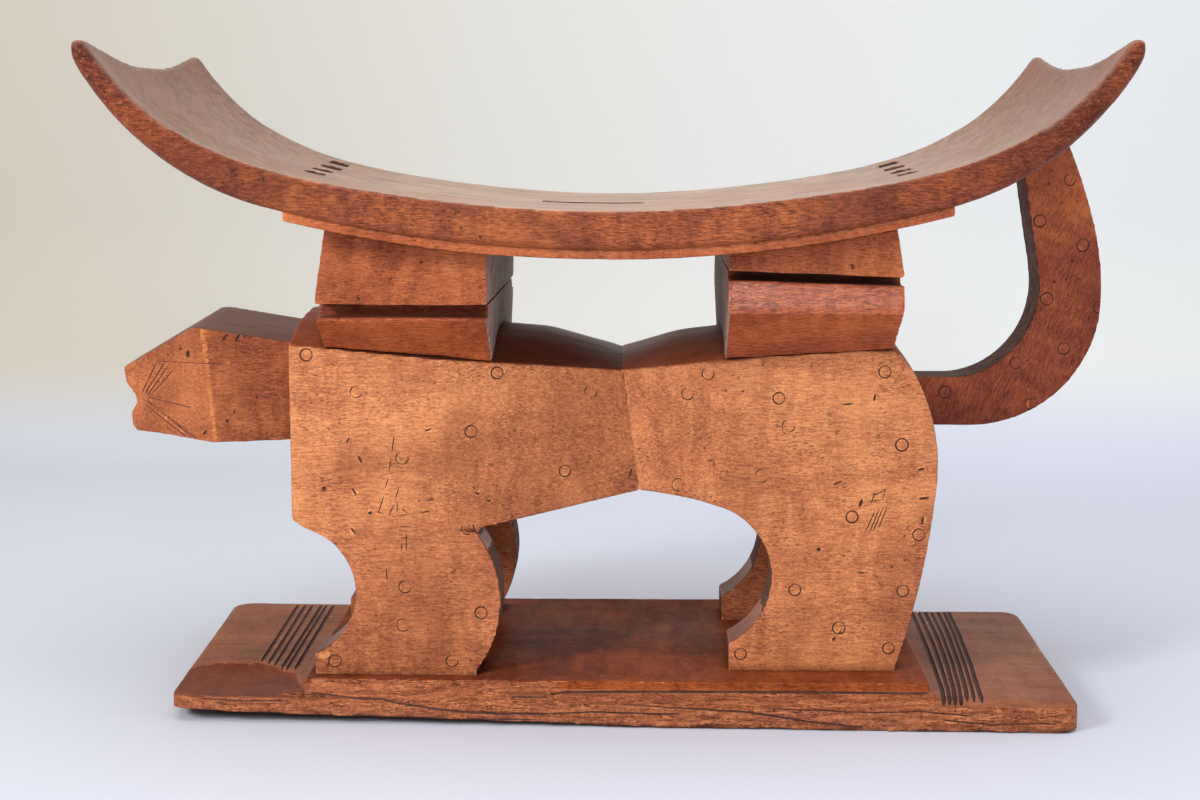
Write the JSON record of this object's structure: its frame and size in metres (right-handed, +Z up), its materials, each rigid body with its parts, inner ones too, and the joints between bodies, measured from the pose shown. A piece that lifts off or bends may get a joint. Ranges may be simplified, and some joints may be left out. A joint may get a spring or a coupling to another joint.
{
  "type": "stool",
  "caption": "Carved wooden ashanti stool: a standing leopard on a slab base carries a curved, pierced seat, with its tail looped up to the seat's end",
  "frame": {"origin": "on the floor, under the middle of the seat, which is within 1 mm of the middle of the whole object's length and depth", "axes": "+X from the animal's head to its tail, +Z up, so +Y points to the animal's right flank, away from the flank that faces a viewer who has the head on the left"},
  "size_m": [0.607, 0.29, 0.3968],
  "materials": {
    "body_wood": "hand-carved, waxed to a soft polish",
    "seat_wood": "hand-carved and waxed, duller on top where it was sat on",
    "base_wood": "hand-carved, worn and split along its lower edge"
  },
  "bodies": {
    "root": {"base": "base_wood", "plinth": "base_wood", "forequarters": "body_wood", "hindquarters": "body_wood", "front_leg_near": "body_wood", "front_leg_far": "body_wood", "hind_leg_near": "body_wood", "hind_leg_far": "body_wood", "head": "body_wood", "tail": "body_wood", "front_lower_block": "body_wood", "front_upper_block": "body_wood", "rear_lower_block": "body_wood", "rear_upper_block": "body_wood", "seat_pad": "seat_wood", "seat": "seat_wood"}
  },
  "joints": []
}
